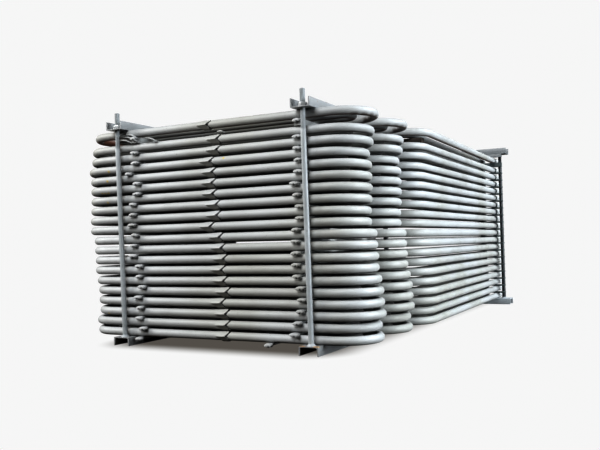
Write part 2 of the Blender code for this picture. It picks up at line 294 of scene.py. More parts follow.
# %% Lamps and world
def lamp(name, place, target, size, watts, colour):
    """A square soft lamp that faces a target."""
    light = bpy.data.lights.new(name, "AREA")
    light.size = size
    light.energy = watts
    light.color = colour
    item = bpy.data.objects.new(name, light)
    item.location = place
    item.rotation_mode = "QUATERNION"
    item.rotation_quaternion = (Vector(target) - Vector(place)).to_track_quat("-Z", "Y")
    bpy.context.scene.collection.objects.link(item)


COOL, NEARLY_WHITE, WARM = (0.91, 0.962, 1.0), (0.975, 0.99, 1.0), (1.0, 0.985, 0.955)
RIGHT_SIDE = (1.0, 0.6, 0.7)
lamp("sky", (-0.6, -7.4, 6.3), (0.0, -1.6, 0.7), 4.5, 930, NEARLY_WHITE)
lamp("right_window", (6.6, 2.9, 6.0), RIGHT_SIDE, 4.5, 700, COOL)
lamp("right_fill", (8.4, -0.4, 2.0), RIGHT_SIDE, 4.5, 1190, COOL)
lamp("left_fill", (-6.6, -4.6, 4.0), (-0.8, -1.4, 0.7), 3.0, 560, WARM)

world = bpy.data.worlds.new("studio")
bpy.context.scene.world = world
world.use_nodes = True
tree = world.node_tree
glow = tree.nodes["Background"]
glow.inputs["Color"].default_value = (0.95, 0.97, 1.0, 1)
glow.inputs["Strength"].default_value = 0.02
plain = tree.nodes.new("ShaderNodeBackground")
plain.inputs["Color"].default_value = (*PALE, 1)
chooser = tree.nodes.new("ShaderNodeMixShader")
tree.links.new(tree.nodes.new("ShaderNodeLightPath").outputs["Is Camera Ray"], chooser.inputs[0])
tree.links.new(glow.outputs[0], chooser.inputs[1])
tree.links.new(plain.outputs[0], chooser.inputs[2])
tree.links.new(chooser.outputs[0], tree.nodes["World Output"].inputs["Surface"])
print("lamps:", len(bpy.data.lights))

# %% [markdown]
# ## Turning grids into pieces
#
# Bent tubes, cuffs and threads could be built with Blender's own curves and modifiers, but here every piece
# is a surface worked out on a grid, because one formula then gives the whole shape: rows run along the piece
# and columns run round it. One helper joins the grid's points into quads, closes both ends and checks the
# volume's sign, so that all faces point outwards.


# %% From grids to a piece
def shell(points, closed=True):
    """Points, quads and end caps of one closed surface. Points are rows by columns by 3, columns wrap round.

    A ring that closes on itself along the rows too, such as a weld round a bar, has closed=False and no caps.
    The volume is a sixth of the sum of a x b . c over all triangles, so its sign is that of the sum.
    """
    rows, columns = points.shape[:2]
    index = np.arange(rows * columns).reshape(rows, columns)
    low, high = (index[:-1], index[1:]) if closed else (index, np.roll(index, -1, axis=0))
    quads = np.stack([low, np.roll(low, -1, axis=1), np.roll(high, -1, axis=1), high], axis=-1).reshape(-1, 4)
    caps = [index[0, ::-1], index[-1]] if closed else []
    flat = points.reshape(-1, 3)
    a, b, c, d = (flat[quads[:, k]] for k in range(4))
    triangles = [(a, b, c), (a, c, d)]
    triangles += [(flat[cap[:1]], flat[cap[1:-1]], flat[cap[2:]]) for cap in caps]
    volume = sum((np.cross(first, second) * third).sum() for first, second, third in triangles)
    if volume < 0:
        quads, caps = quads[:, ::-1], [cap[::-1] for cap in caps]
    return flat, quads, caps


def piece(name, shells, material, replaces=(), crease=40, marks=None):
    """One object from one or more closed surfaces. It rides on the root body, with its place in its mesh.

    Marks are named values from 0 to 1, one for each point, that the paint reads.
    """
    faces, start = [], 0
    for points, quads, caps in shells:
        faces += (quads + start).tolist() + [(cap + start).tolist() for cap in caps]
        start += len(points)
    mesh = bpy.data.meshes.new(name)
    mesh.from_pydata(np.concatenate([part[0] for part in shells]).tolist(), [], faces)
    mesh.materials.append(material)
    for mark, values in (marks or {}).items():
        layer = mesh.attributes.new(mark, "FLOAT", "POINT")
        layer.data.foreach_set("value", values.ravel().astype(np.float32))
    mesh.shade_smooth()
    mesh.set_sharp_from_angle(angle=math.radians(crease))
    item = bpy.data.objects.new(name, mesh)
    bpy.context.scene.collection.objects.link(item)
    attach(item, "root")
    if replaces:
        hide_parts(*replaces)
    return item


# %% [markdown]
# ## Paint and steel
#
# The whole bundle wears one light grey primer, sprayed on quickly. It is satin, a little cloudy, and has
# picked up yard dirt. On tubes the dirt gathers in long soft streaks along their length and in fine specks.
# A few dabs of yellow marking paint and a little rust show where the photograph has them. The inner tubes
# have darker copies of the primer, and the undersides of all tubes turn nearly black, with rust on the top
# panel: both are painted shade, which makes the gaps look deep. The dark patches under the top panel's right
# loops are painted shade with some rust.
#
# A painted picture could be wrapped round each tube, but it would have to be fitted to forty of them. Noise
# that is measured in metres fits them all, and a mark is placed by its distance from a point.


# %% Tube paint
def spots(recipe, centres, radius, ragged):
    """1 inside ragged blots round some points, and 0 elsewhere.

    Each blot is 0 at its radius and 1 at half of it. Noise added to the distance makes its edge ragged.
    """
    point = recipe.place()
    edge = recipe.noise(90.0, 3.0)
    total = 0.0
    for centre in centres:
        away = recipe.node("ShaderNodeVectorMath", {"operation": "DISTANCE"}, [point, centre], output="Value")
        total = (away + edge * ragged).step(radius, radius * 0.5) + total
    return total.clipped()


def tube_paint(name, base, shade, roughness, folded=False, underside_shade_and_rust=(0.035, 0.033, 0.030)):
    """Satin grey primer with clouds, streaks along the tubes, specks of dirt and marking paint.

    Where the mark for the underside is 1, the colour turns nearly black: painted shade, with rust in it on
    the top panel. A folded coat is for the cuffs: where the mark of their pressed facet is 1, the facet turns
    dark, painted shade for a face that looks down, and a little rougher.
    """
    coat = Recipe(name)
    clouds = coat.noise(2.2, 4.0)
    streaks = coat.noise(6.0, 4.0, 0.6, (0.25, 1, 4))
    specks = coat.noise(120.0, 3.0, 0.65).step(0.60, 0.72)
    grime = (streaks * 0.65 + clouds * 0.35).step(0.48, 0.72)
    colour = coat.mix(clouds.step(0.35, 0.65), base, shade)
    colour = coat.mix(coat.noise(1.1, 2.0).step(0.42, 0.66) * 0.30, colour, (0.36, 0.355, 0.30))
    colour = coat.mix(grime * 0.38, colour, (0.20, 0.19, 0.165))
    colour = coat.mix(specks * 0.45, colour, (0.15, 0.135, 0.115))
    # Painted shade: where the below mark is 1, the underside turns nearly black.
    below = coat.node("ShaderNodeAttribute", {"attribute_name": "below"}, output="Fac")
    colour = coat.mix(below * 0.90, colour, underside_shade_and_rust)
    if folded:
        # The facet mark darkens the pressed facet: painted shade for a face that looks down.
        dull = coat.node("ShaderNodeAttribute", {"attribute_name": "facet_shade"}, output="Fac")
        return coat.finish(
            Base_Color=coat.mix(dull * 0.62, colour, (0.155, 0.15, 0.13)),
            Roughness=grime * 0.22 + dull * 0.15 + roughness,
            Normal=coat.bump(coat.noise(420.0, 2.0) * 0.5 + specks * 0.3, 0.0009, 0.5),
        )
    colour = coat.mix(spots(coat, YELLOW_MARKS, 0.017, 0.012) * 0.85, colour, (0.52, 0.38, 0.05))
    colour = coat.mix(spots(coat, RUST_MARKS, 0.062, 0.03) * 0.88, colour, (0.19, 0.062, 0.022))
    # Painted shade, with some rust, under the top panel's right loops.
    colour = coat.mix(spots(coat, LOOP_SHADE, 0.052, 0.012) * 0.90, colour, (0.050, 0.033, 0.023))
    relief = coat.bump(coat.noise(420.0, 2.0) * 0.5 + streaks * 0.8, 0.0009, 0.5)
    return coat.finish(Base_Color=colour, Roughness=grime * 0.22 + roughness, Normal=relief)


# %% Marks on the paint
def right_loops(slide):
    """The X of the centres of the bends on the right of a panel's loops."""
    return LEG + slide - SETBACK - WIDE


def on_front(x, panel, up):
    """A point on the front of a panel's front run, where the tube's circle is at that height."""
    return (x, FRONT - math.sqrt(TUBE ** 2 - up ** 2), height(panel) + up)


YELLOW_MARKS = [
    on_front(-0.746, 4, -0.011), on_front(-0.757, 5, -0.007), on_front(-0.809, 6, -0.019),
    on_front(-0.783, 6, -0.020), on_front(-0.757, 6, -0.020), on_front(-0.759, 7, -0.016),
    on_front(-0.769, 18, -0.018), on_front(0.143, 4, 0.012),
]

# The top panel's right loops are dark underneath, just inside the centre line of their wide bend. This
# is painted shade, with some rust.
SHADE_REACH, SHADE_DROP = WIDE - 0.010, 0.031
LOOP_SHADE = [
    (
        right_loops(SLIDES[0]) + SHADE_REACH * math.cos(turn),
        FRONT + WIDE + 4 * RUN * loop + SHADE_REACH * math.sin(turn),
        height(1) - SHADE_DROP,
    )
    for loop in range(LOOPS)
    for turn in np.radians((-45, -28, -11, 6, 23, 40, 57))
]

# Rust has run down behind the top panel's left corner, and along the inner side of its left leg.
RUST_X = (-0.87, -0.82, -0.77, -0.72)
RUST_MARKS = [(x, FRONT + 0.06 - 0.3 * (x - RUST_X[0]), height(1) - 0.024) for x in RUST_X]
RUST_MARKS += [(SLIDES[0] - LEG + 0.022, FRONT + 0.12 + 0.05 * k, height(1) - 0.014) for k in range(8)]
print("marks:", len(YELLOW_MARKS), "yellow,", len(RUST_MARKS), "rust and", len(LOOP_SHADE), "dark")

# %% Five coats for tubes and cuffs
GREY = (0.405, 0.415, 0.42), (0.345, 0.352, 0.352)
# Nearly black with rust in it: painted shade on the top panel's undersides.
RUST_AND_SHADE = (0.07, 0.035, 0.022)
OUTER_PAINT = tube_paint("outer_tube_paint", *GREY, 0.52)
TOP_PAINT = tube_paint("top_panel_paint", *GREY, 0.52, underside_shade_and_rust=RUST_AND_SHADE)
# The two inner coats are darker copies of the primer: painted shade for the inner tubes deep in the stack.
# The first is the top panel's, the second the other panels'.
INNER_PAINT = tube_paint("inner_tube_paint", (0.225, 0.23, 0.232), (0.18, 0.183, 0.183), 0.49, underside_shade_and_rust=RUST_AND_SHADE)
SHADED_INNER_PAINT = tube_paint("shaded_inner_tube_paint", (0.20, 0.203, 0.203), (0.155, 0.156, 0.152), 0.52)
CUFF_PAINT = tube_paint("cuff_paint", *GREY, 0.52, folded=True)

# %% [markdown]
# ## The bent tubes
#
# A panel is a nested pair of tubes, bent cold round two formers. Each tube is a path of straight runs and
# arcs in plan, with a round section carried along it. A curve with a round bevel would do for most of it, but
# the tubes have to draw in and swell again inside their cuffs, and a grid can change its radius from point to
# point. The path is a list of points and headings, so the section only has to be turned about the upright
# axis. The real runs are not dead straight either: between bends they rise and fall by a millimetre or so.


# %% The path of a tube
def ellipse(centre, reach, angles):
    """Points on an ellipse: the centre plus the reach times cosine and sine. One reach makes a circle."""
    return np.array(centre) + np.array(reach) * np.stack([np.cos(angles), np.sin(angles)], axis=-1)


def arc(centre, radius, start, end):
    """Points along a bend, one for every 5 degrees, and their headings, a quarter turn past their angles."""
    angles = np.radians(np.linspace(start, end, int(abs(end - start) / 5) + 1))
    return ellipse(centre, radius, angles), angles + math.copysign(math.pi / 2, end - start)


def tube_line(outer, slide):
    """The whole centre line of one tube of a panel, from its left end to its right end, in plan.

    Where the outer tube takes the wide bend the inner one takes the tight one, round the same centre. The
    ends of the legs stand in line, so each leg leans by the panel's slide.
    """
    outside, inside = (WIDE, TIGHT) if outer else (TIGHT, WIDE)
    end_x = LEG if outer else LEG - RUN
    left = -LEG + slide + 2 * RUN + WIDE
    corner_y = FRONT + WIDE
    bends = [arc((-LEG + slide + WIDE, corner_y), outside, 180, 270)]
    for loop in range(LOOPS):
        loop_y = corner_y + 4 * RUN * loop
        bends.append(arc((right_loops(slide), loop_y), outside, -90, 90))
        bends.append(arc((left, loop_y + 2 * RUN), inside, 270, 90))
    bends.append(arc((LEG + slide - WIDE, corner_y + 4 * LOOPS * RUN), outside, -90, 0))
    points = [np.array([[-end_x, TUBE_END]])] + [bend[0] for bend in bends] + [np.array([[end_x, TUBE_END]])]
    turns = [np.array([-math.pi / 2])] + [bend[1] for bend in bends] + [np.array([math.pi / 2])]
    return np.concatenate(points), np.concatenate(turns)


def fill_runs(points, turns, step=0.12):
    """The same line with extra points along its straight runs. The heading there follows the run.

    Each gap is cut into equal parts no longer than a step, and a new point lies at its share of the gap.
    """
    gaps = np.linalg.norm(np.diff(points, axis=0), axis=1)
    parts = np.maximum(1, np.ceil(gaps / step)).astype(int)
    start = np.repeat(np.arange(len(gaps)), parts)
    share = np.concatenate([np.arange(count) / count for count in parts])[:, None]
    line = points[start] * (1 - share) + points[start + 1] * share
    run = np.diff(points, axis=0)[start]
    along = np.where(share[:, 0] > 0, np.arctan2(run[:, 1], run[:, 0]), turns[start])
    return np.vstack([line, points[-1]]), np.append(along, turns[-1])


SIDES = 24


def round_angles(sides):
    """The angles of a section's points, once round from 0."""
    return 2 * math.pi * np.arange(sides) / sides


def sweep(line, turns, z, radius):
    """A round section carried along a plan line. Radius and z may change, row by row or point by point.

    A column's angle is 0 on the left of the heading and a quarter turn on top.
    """
    angle = round_angles(SIDES)
    radius = np.broadcast_to(radius, (len(line), SIDES))
    sideways = np.stack([-np.sin(turns), np.cos(turns)], axis=-1)[:, None, :] * np.cos(angle)[None, :, None]
    flat = line[:, None, :] + sideways * radius[..., None]
    up = np.broadcast_to(z, len(line))[:, None] + radius * np.sin(angle)
    return np.concatenate([flat, up[..., None]], axis=-1)


def waver(line, panel):
    """The gentle rise and fall of a run, up to about a millimetre."""
    return 0.0006 * np.sin(2.1 * line[:, 0] + 1.7 * panel) + 0.0005 * np.sin(1.3 * line[:, 1] + 2.9 * panel)


length = np.linalg.norm(np.diff(fill_runs(*tube_line(True, 0.0))[0], axis=0), axis=1).sum()
print("an outer tube is", round(length, 2), "m long")

# %% Where the cuffs are
CUFF_SHIFTS = (
    -0.094, 0.004, 0.007, -0.017, -0.015, -0.017, -0.014, 0.012, 0.020, -0.028,
    0.004, 0.014, 0.023, 0.006, 0.005, 0.013, -0.026, -0.006, 0.022, 0.010,
)
CUFF_MIDDLE, CUFF_HALF = LEG - 0.963, 0.051
MOUTH_DEPTH = 0.020


def notch(panel):
    """The X of the mouth's deepest point on a panel's cuff, on the crease."""
    return CUFF_MIDDLE + CUFF_HALF + SLIDES[panel - 1] + CUFF_SHIFTS[panel - 1]


def mouth(panel, angle):
    """The X of the cuff's open edge at an angle round it: a notch on the crease that widens above and below.

    The edge is further right the greater the sine of the angle is, to the power 0.8, up to 0.85.
    """
    return notch(panel) + MOUTH_DEPTH * np.minimum(1, np.abs(np.sin(angle)) / 0.85) ** 0.8


notches = [notch(panel) for panel in range(1, PANELS + 1)]
print("cuff mouths from x =", round(min(notches), 3), "to", round(max(notches), 3))


# %% The nose inside the cuff
def smooth(value, low, high):
    """0 below low, 1 above high and a smooth rise between them: three shares squared less two cubed."""
    share = np.clip((value - low) / (high - low), 0, 1)
    return share * share * (3 - 2 * share)


def on_front_run(line):
    """Whether each point of a plan line is on the front run."""
    return np.abs(line[:, 1] - FRONT) < 1e-6


def nose_rows(panel, line, turns):
    """The same line with a row for every 3 mm round the cuff's mouth, where the radius changes quickly."""
    fine = notch(panel) + np.linspace(-0.056, 0.040, 33)
    place = np.nonzero(on_front_run(line))[0]
    before = place[line[place, 0] < fine[0]][-1] + 1
    after = place[line[place, 0] > fine[-1]][0]
    run = np.stack([fine, np.full(len(fine), FRONT)], axis=-1)
    turns = np.concatenate([turns[:before], 0 * fine, turns[after:]])
    return np.concatenate([line[:before], run, line[after:]]), turns


NOSE_STEP, GAPE = 0.0075, 0.0045


def nose(panel, line):
    """The radius of an outer tube. Under the cuff it is drawn in, and it swells to a round nose at the mouth.

    The step in the radius counts on the front run alone, begins under the cuff and ends past its mouth. In
    front, a little above the crease, it ends later by a smooth hill, which leaves a dark gap.
    """
    angle = round_angles(SIDES)
    x = line[:, 0][:, None]
    hill = np.exp(-((np.sin(angle) - 0.18) / 0.32) ** 2)
    edge = mouth(panel, angle) + np.where(np.cos(angle) < 0, GAPE * hill, 0)
    swell = smooth(x, edge + 0.001, edge + 0.011)
    under = smooth(x, notch(panel) - 0.050, notch(panel) - 0.040)
    return TUBE - NOSE_STEP * on_front_run(line)[:, None] * under * (1 - swell)


# %% Twenty pairs of tubes
PAINTS = {"outer": (TOP_PAINT, OUTER_PAINT), "inner": (INNER_PAINT, SHADED_INNER_PAINT)}
CAP_DOME = 0.012
for panel in range(1, PANELS + 1):
    for kind in ("outer", "inner"):
        line, turns = fill_runs(*tube_line(kind == "outer", SLIDES[panel - 1]))
        radius = TUBE
        if kind == "outer":
            line, turns = nose_rows(panel, line, turns)
            radius = nose(panel, line)
        line[line[:, 1] > TUBE_END - 1e-6, 1] -= CAP_DOME
        rows = sweep(line, turns, height(panel) + waver(line, panel), radius)
        # The below mark is 1 on the lowest part of the tube, for its painted shade.
        below = smooth((height(panel) - rows[..., 2]) / TUBE, 0.70, 0.96)
        piece(
            f"{kind}_tube_{panel:02d}", [shell(rows)], PAINTS[kind][panel > 1],
            [f"{kind}_coil_{panel:02d}"], marks={"below": below},
        )
print("tubes:", 2 * PANELS, "and the last has", len(line), "rows")

# %% [markdown]
# ## Caps on the tube ends
#
# The open ends are closed for transport with pressed caps. Each is a short cup that fits over the tube, with
# a soft dome at its end. A cylinder with rounded edges would be close, but a profile of distance along the
# tube and radius, turned as on a lathe, gives the cup's lip too. A band of dark tape goes round each tube a
# little way in front of its cap, and is turned in the same way.

# %% Cap and tape finishes
cap_coat = Recipe("cap_plastic")
scuffs = cap_coat.noise(30.0, 4.0, 0.6).step(0.5, 0.75)
CAP = cap_coat.finish(
    Base_Color=cap_coat.mix(scuffs * 0.4, (0.66, 0.68, 0.68), (0.42, 0.40, 0.37)),
    Roughness=scuffs * 0.2 + 0.34,
    Normal=cap_coat.bump(cap_coat.noise(260.0, 2.0), 0.0005, 0.4),
)
tape_coat = Recipe("dark_tape")
creases = tape_coat.noise(60.0, 3.0, 0.6, (1, 0.3, 1))
TAPE = tape_coat.finish(
    Base_Color=tape_coat.mix(creases.step(0.4, 0.7), (0.020, 0.034, 0.036), (0.055, 0.078, 0.080)),
    Roughness=creases * 0.2 + 0.42,
    Normal=tape_coat.bump(creases, 0.0008, 0.6),
)


# %% Eighty caps and bands of tape
def turned(profile, centre):
    """A profile of (along, radius) turned round a line along Y, as on a lathe."""
    along, radius = (np.array(profile)[:, k, None] for k in (0, 1))
    angle = round_angles(SIDES)
    x = centre[0] + radius * np.cos(angle)
    z = centre[2] + radius * np.sin(angle)
    return np.stack([x, centre[1] + along + 0 * angle, z], axis=-1)


SNUG, CUP = TUBE + 0.0002, TUBE + 0.0030
cap_profile = [(-0.044, SNUG), (-0.044, TUBE + 0.0024), (-0.040, CUP), (-CAP_DOME, CUP)]
for turn in np.radians(np.linspace(14, 84, 6)):
    cap_profile.append((-CAP_DOME + 0.0118 * math.sin(turn), CUP * (0.55 + 0.45 * math.cos(turn))))
tape_profile = [(-0.156, SNUG), (-0.156, TUBE + 0.0014), (-0.112, TUBE + 0.0018), (-0.112, SNUG)]
for panel in range(1, PANELS + 1):
    centres = [(x, TUBE_END, height(panel)) for x in (-LEG, -LEG + RUN, LEG - RUN, LEG)]
    caps = [shell(turned(cap_profile, centre)) for centre in centres]
    bands = [shell(turned(tape_profile, centre)) for centre in centres]
    piece(f"end_caps_{panel:02d}", caps, CAP)
    piece(f"tape_bands_{panel:02d}", bands, TAPE)
print("caps and bands:", len(centres) * PANELS, "each")

# %% [markdown]
# ## The lap cuffs
#
# On every front run, one length of tube laps over the next. The end of the first length is opened out and
# folded: a crease runs along its front, the lower half is pressed to a flat facet that faces down, and the
# upper half flares. Its edge is cut back at the crease like a fish's mouth, and the next length's round nose
# shows inside. A cuff could be sculpted by hand, but twenty would be needed. Here the radius is a function of
# the place along the tube and of the angle round it, so one grid holds the flare, the crease and the facet
# together, and the same function serves all panels.


# %% Twenty cuffs
LAP, WALL = TUBE + 0.0005, 0.0026
RIDGE_OUT, CREASE_OUT = 0.0270, 0.0335
FACET_NORMAL, FACET_OUT = math.radians(-37), 0.0268
UNDERSIDE, UNDERSIDE_OUT = math.radians(-72), 0.0318


def cuff(panel, rows=32, sides=64):
    """The outside and inside of a cuff as one grid, with the marks for its paint.

    The grid runs out along the outside and back along the inside. The angle is 0 on the front and a quarter
    turn on top. The lower front is a plane: its radius is the plane's distance over the cosine of the angle
    to its normal. It begins along a slanted line, further along the tube the lower it is. The upper front is
    round, with a ridge that dies away above the crease. The back is a plain round lap.
    """
    angle = round_angles(sides)
    lower = np.where(angle > math.pi, angle - 2 * math.pi, angle)
    root = notch(panel) - 0.078
    share = np.linspace(0, 1, rows)[:, None]
    x = root + (mouth(panel, angle) - root) * share
    plane = np.minimum(CREASE_OUT, FACET_OUT / np.maximum(0.3, np.cos(lower - FACET_NORMAL)))
    plane = np.where(lower < UNDERSIDE, UNDERSIDE_OUT - 0.0035 * smooth(-lower, 1.26, 2.2), plane)
    ridge = RIDGE_OUT + (CREASE_OUT - RIDGE_OUT) * (1 - smooth(lower, 0.0, 0.62))
    ridge = ridge + 0.0024 * smooth(lower, 0.9, 1.3)
    start = notch(panel) - 0.072 + 0.040 * np.abs(np.sin(angle))
    facet = smooth(x, start, start + 0.010)
    flare = smooth(x, root, notch(panel) + 0.004)
    above = smooth(lower, -0.02, 0.05)
    front = (LAP + (plane - LAP) * facet) * (1 - above) + (LAP + (ridge - LAP) * flare) * above
    back = LAP + 0.0015 * flare
    behind = smooth(np.abs(lower), 1.75, 2.3)
    radius = np.where(np.abs(lower) < 1.9, front, back) * (1 - behind) + back * behind
    around = [
        np.stack([x, FRONT - reach * np.cos(angle), height(panel) + reach * np.sin(angle)], axis=-1)
        for reach in (radius, radius - WALL)
    ]
    # The mark of the pressed facet, for its painted shade.
    facet_shade = facet * (1 - smooth(lower, -0.10, 0.0)) * smooth(lower, -1.35, -1.15)
    # The below mark, for the painted shade on the cuff's underside.
    below = smooth(-np.sin(angle), 0.70, 0.96) + 0 * facet_shade
    marks = {"facet_shade": np.concatenate([facet_shade, 0 * facet_shade]), "below": np.concatenate([below, 0 * below])}
    return np.concatenate([around[0], around[1][::-1]]), marks


for panel in range(1, PANELS + 1):
    grid, marks = cuff(panel)
    ring = shell(grid, closed=False)
    piece(f"cuff_{panel:02d}", [ring], CUFF_PAINT, crease=26, marks=marks)
print("cuffs:", PANELS, "of", len(grid), "rows")

# %% [markdown]
# ## Spacer bars and their lugs
#
# Bars lie between the panels and keep the air gap. At the front each bar is forged into a thumb in front of
# the tubes, with a hollow pressed into its lower right side. Bars could be boxes with a bevel modifier, but a
# section carried straight from end to end gives the same bevel with fewer points, and channels can use it
# too. A few bent bar ends were left beside the left rod, and a block of dark timber under the right corner.

# %% Where the bars are
ROD_RADIUS = 0.016
THREAD_LENGTH = 0.150
CLAMP_INSET, ROD_ROOM, HALF_BAR = 0.140, 0.003, 0.025
REAR_ROD_OUT, OVERHANG = 0.068, 0.007
REAR_CLAMP = TUBE_END - CLAMP_INSET
REAR_BAR = REAR_CLAMP - (ROD_RADIUS + ROD_ROOM) - HALF_BAR
REAR_BAR_REACH = LEG + REAR_ROD_OUT + ROD_RADIUS + OVERHANG
LEFT_BARS = (
    0.121, 0.124, 0.126, 0.071, 0.134, 0.131, 0.095, 0.091, 0.081, 0.102,
    0.090, 0.079, 0.125, 0.121, 0.142, 0.106, 0.120, 0.109, 0.137, 0.103,
)
MIDDLE_BARS = (
    -0.046, -0.046, -0.048, -0.046, -0.046, -0.075, -0.064, -0.046, -0.046, -0.077,
    -0.083, -0.081, -0.084, -0.081, -0.060, -0.053, -0.065, -0.087, -0.108, -0.278,
)
LEAN_LOW, LEAN_HIGH = 0.0676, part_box("left_front_nut")[1].z - THREAD_LENGTH


def centre_of(node):
    """The middle of a solid's box in plan."""
    low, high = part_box(node)
    return (low.x + high.x) / 2, (low.y + high.y) / 2


def clamp_x(clamp, z):
    """The X of a clamp's rods at a height. They lean between the top of the foot's weld and the thread."""
    low_x, high_x = (centre_of(f"{clamp}_{place}_channel")[0] for place in ("bottom", "top"))
    return low_x + (high_x - low_x) * np.clip((z - LEAN_LOW) / (LEAN_HIGH - LEAN_LOW), 0, 1)


def bar_places(panel):
    """The X of a panel's left and middle bars, as in the solid model."""
    low = height(panel) - TUBE - gap_under(panel)
    return clamp_x("left", low) + LEFT_BARS[panel - 1], clamp_x("middle", low) + MIDDLE_BARS[panel - 1]


for panel in (1, PANELS):
    print("bars under panel", panel, "at x =", [round(float(x), 3) for x in bar_places(panel)])


# %% Bar finishes
def bar_paint():
    """The tubes' primer in the middle, and painted shade past the inner legs: nearly black, a little cloudy.
    """
    coat = Recipe("rear_bar_primer_and_end_shade")
    grime = coat.noise(24.0, 4.0, 0.6)
    across = coat.axes()[0]
    # Painted shade on the bar ends past the inner legs.
    ends = (abs(across) + grime * 0.03).step(0.880, 0.900)
    colour = coat.mix(grime.step(0.4, 0.7) * 0.5, (0.40, 0.41, 0.415), (0.27, 0.265, 0.25))
    dark = coat.mix(grime.step(0.35, 0.65), (0.030, 0.040, 0.042), (0.075, 0.092, 0.094))
    return coat.finish(Base_Color=coat.mix(ends * 0.96, colour, dark), Roughness=ends * 0.25 + 0.45)


REAR_BAR_PAINT = bar_paint()
wood = Recipe("dark_timber")
rings = wood.noise(40.0, 4.0, 0.6, (0.15, 1, 1))
TIMBER = wood.finish(
    Base_Color=wood.mix(rings.step(0.35, 0.65), (0.022, 0.017, 0.014), (0.050, 0.036, 0.028)),
    Roughness=rings * 0.2 + 0.6,
    Normal=wood.bump(rings, 0.001, 0.5),
)


# %% Straight bars
BACK = FRONT + (4 * LOOPS + 1) * RUN
FACET = TUBE / math.cos(math.pi / 6)
FLAT_ENDS = (BACK + FACET - 0.014, FRONT - TUBE - 0.006)
REAR_ENDS = (-REAR_BAR_REACH, REAR_BAR_REACH)
BAR_SECTION = np.array([
    (-1, 0.56), (-0.94, 1), (0.94, 1), (1, 0.56),
    (1, -0.56), (0.94, -1), (-0.94, -1), (-1, -0.56),
]) / 2


def straight(section, ends, side, z, along):
    """A section of (across, up) carried level along X (0) or Y (1), from one end to the other."""
    grid = np.empty((2, len(section), 3))
    grid[..., along] = np.array(ends)[:, None]
    grid[..., 1 - along] = side + section[:, 0]
    grid[..., 2] = z + section[:, 1]
    return grid


def gap_middle(panel):
    """The height of the middle of the gap under a panel."""
    return height(panel) - TUBE - gap_under(panel) / 2


def flat_bar(panel, x):
    """A bar under all the runs of a panel, up to the front of the tubes."""
    section = BAR_SECTION * (0.040, gap_under(panel) - 0.0025)
    return straight(section, FLAT_ENDS, x, gap_middle(panel), along=1)


def rear_bar(panel):
    """A bar across all the legs, in front of the rear rods and a little past them."""
    section = BAR_SECTION * (0.049, gap_under(panel) - 0.0010)
    return straight(section, REAR_ENDS, REAR_BAR, gap_middle(panel), along=0)


print("a flat bar is", round(np.ptp(flat_bar(PANELS, 0.0)[..., 1]), 3), "m long")


# %% Forged lugs
LUG_ROUNDING = 0.0115
LUG_DROP = (0.013, 0.0125)


def lug(panel, x, seed):
    """The forged end of a bar: a thumb with a hollow pressed into its lower right side, rounded at the front.

    Its section across the bar is drawn as one closed line, out over an ellipse and back along a smaller one.
    The section shrinks towards the front by the quarter circle of the rounded end. The seed makes each one a
    little wider, taller or more tilted than the next.
    """
    reach = np.array([0.0285 - 0.0035 * math.sin(1.9 * seed), 0.0122 + 0.0008 * math.sin(2.7 * seed)])
    hollow = (0.0075 + 0.0022 * math.sin(seed), -0.0078)
    over = ellipse((0, 0), reach, np.radians(np.linspace(-34, 250, 24)))
    under = ellipse(hollow, reach * (0.44, 0.42), np.radians(np.linspace(235, -20, 18)))
    tilt = math.radians(5 * math.sin(2.3 * seed + 1))
    turn = np.array([[math.cos(tilt), math.sin(tilt)], [-math.sin(tilt), math.cos(tilt)]])
    section = np.concatenate([over, under]) @ turn
    out = np.array([0.0, 0.0012, 0.0035, 0.0070, 0.0115, 0.0170, 0.0232])
    size = 0.50 + 0.50 * np.sqrt(1 - (1 - np.minimum(1, out / LUG_ROUNDING)) ** 2)
    grid = np.empty((len(out), len(section), 3))
    grid[..., 0] = x + section[:, 0] * size[:, None]
    grid[..., 1] = (FRONT - FACET - 0.0235 + out)[:, None]
    grid[..., 2] = height(panel) - TUBE - LUG_DROP[panel > 1] + section[:, 1] * size[:, None]
    return grid


print("a lug has", len(lug(1, 0.0, 0)[0]), "points round its section")


# %% Bent bar ends
STACKED_ENDS = (
    ((-0.574, 1.334), (-0.494, 1.302)), ((-0.598, 1.316), (-0.488, 1.281)),
    ((-0.631, 1.299), (-0.533, 1.274)), ((-0.435, 1.297), (-0.341, 1.272)),
)
LONE_END = ((0.103, 1.288), (0.143, 1.288))
END_DEPTH = 0.034


def bar_end(start, end, thick, y):
    """A bent bar's end, seen edge on from the front: a thin bowed lens between two points of (x, z).

    Its line bows up, and its thickness swells, with the sine of the share of the way along it.
    """
    angle = round_angles(14)
    share = np.linspace(0, 1, 13)[:, None]
    bow = np.sin(math.pi * share)
    x = start[0] + (end[0] - start[0]) * share
    z = start[1] + (end[1] - start[1]) * share + 0.09 * (end[0] - start[0]) * bow
    half = thick / 2 * (0.22 + 0.78 * bow ** 0.7)
    across = np.sign(np.cos(angle)) * np.abs(np.cos(angle)) ** 0.5
    return np.stack([x + 0 * angle, y + END_DEPTH / 2 * across + 0 * x, z + half * np.sin(angle)], axis=-1)


bent = [shell(bar_end(*ends, 0.0095, FRONT - 0.033)) for ends in STACKED_ENDS]
bent.append(shell(bar_end(*LONE_END, 0.016, FRONT - 0.012)))
print("bent ends:", len(bent))

